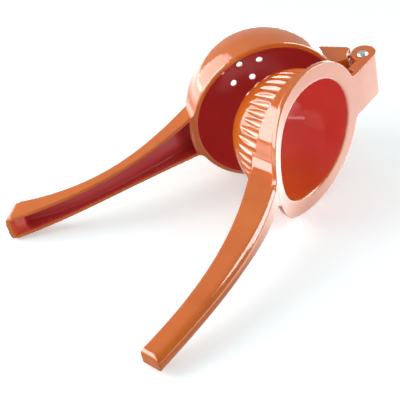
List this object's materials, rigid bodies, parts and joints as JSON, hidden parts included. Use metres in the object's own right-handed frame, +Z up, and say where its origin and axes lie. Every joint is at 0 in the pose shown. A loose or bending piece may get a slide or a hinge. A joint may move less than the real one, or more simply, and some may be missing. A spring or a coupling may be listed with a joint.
{
  "type": "lemon squeezer",
  "caption": "Handheld hinged lemon squeezer lying open: a perforated bowl with a channel handle and a fluted press cup with a slim handle.",
  "frame": {"origin": "on the table, in the middle of the footprint of the squeezer lying open on its side", "axes": "+Z up from the table, +X from the handle ends towards the hinge, the bowl towards +Y and the press cup's open side towards -Y"},
  "size_m": [0.2182, 0.1936, 0.086],
  "materials": {
    "enamel": "gloss",
    "steel": "satin"
  },
  "bodies": {
    "bowl": {"bowl_arm": "enamel"},
    "press": {"press_arm": "enamel", "hinge_pin": "steel"}
  },
  "joints": [
    {"name": "arm_hinge", "type": "hinge", "parent": "bowl", "child": "press", "pos_m": [0.09848, 0.04903, 0.05581], "axis": [-0.2205, -0.0872, 0.9715], "range_deg": [-28, 62]}
  ]
}
